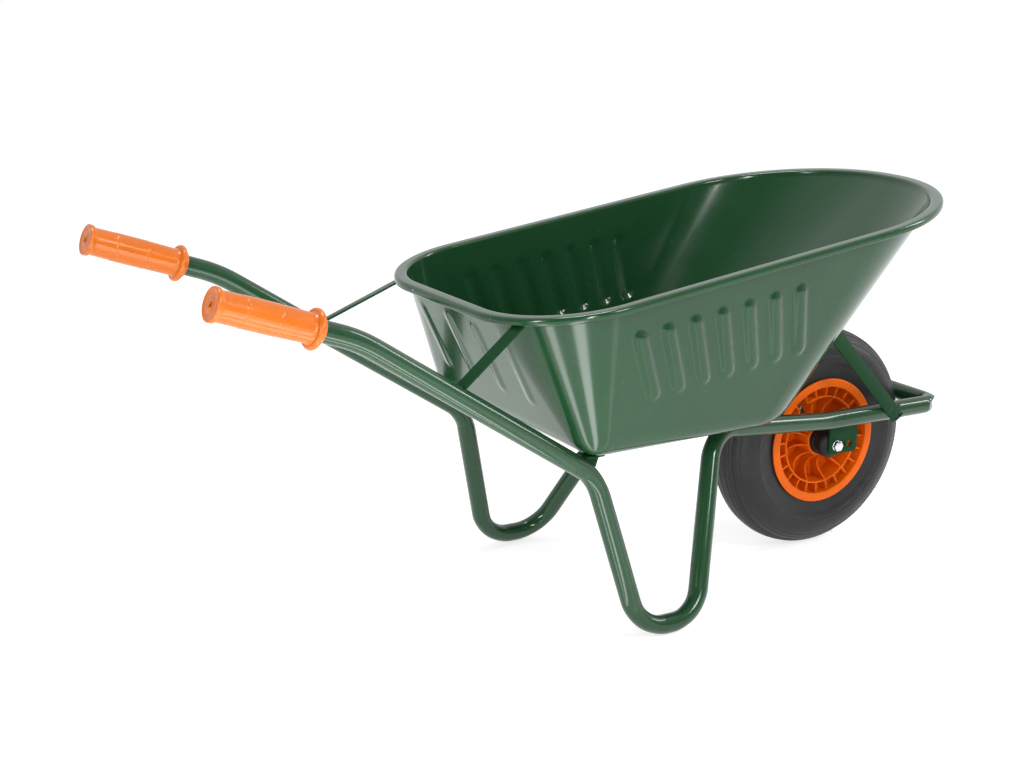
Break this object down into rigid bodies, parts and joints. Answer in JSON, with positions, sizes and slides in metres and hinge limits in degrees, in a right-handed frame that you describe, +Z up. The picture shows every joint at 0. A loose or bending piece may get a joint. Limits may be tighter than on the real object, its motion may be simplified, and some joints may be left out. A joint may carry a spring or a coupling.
{
  "type": "wheelbarrow",
  "caption": "Garden wheelbarrow: bent tube frame with loop legs, deep pressed steel tray on braces, pneumatic wheel on a bolted axle, ribbed moulded rim and plastic hand grips.",
  "frame": {"origin": "on the floor, under the middle of the overall box", "axes": "+X forward towards the wheel, +Y left, +Z up; the barrow is symmetric about Y = 0 apart from the axle bolt and nut"},
  "size_m": [1.4822, 0.5612, 0.6618],
  "materials": {
    "green_enamel": "gloss enamel",
    "grip_plastic": "gloss",
    "rim_plastic": "satin moulded",
    "black_plastic": "satin moulded",
    "zinc": "bright zinc plated",
    "tyre_rubber": "satin",
    "tube_rubber": "matte"
  },
  "bodies": {
    "frame": {"frame_tube": "green_enamel", "grip_left": "grip_plastic", "grip_right": "grip_plastic", "tray": "green_enamel", "rear_brace_left": "green_enamel", "rear_brace_right": "green_enamel", "front_brace_left": "green_enamel", "front_brace_right": "green_enamel", "axle_plate_left": "green_enamel", "axle_plate_right": "green_enamel", "rear_saddle_left": "green_enamel", "rear_saddle_right": "green_enamel", "front_saddle_left": "green_enamel", "front_saddle_right": "green_enamel", "axle_bolt": "zinc", "axle_washers": "zinc", "axle_nut": "zinc", "axle_sleeve": "zinc"},
    "wheel": {"rim": "rim_plastic", "hub_bush_left": "black_plastic", "hub_bush_right": "black_plastic", "tyre": "tyre_rubber", "inner_tube": "tube_rubber", "valve_stem": "tube_rubber", "valve_cap": "black_plastic"}
  },
  "joints": [
    {"name": "wheel_spin", "type": "hinge", "parent": "frame", "child": "wheel", "pos_m": [0.50768, 0, 0.2], "axis": [0, 1, 0], "continuous": true}
  ]
}
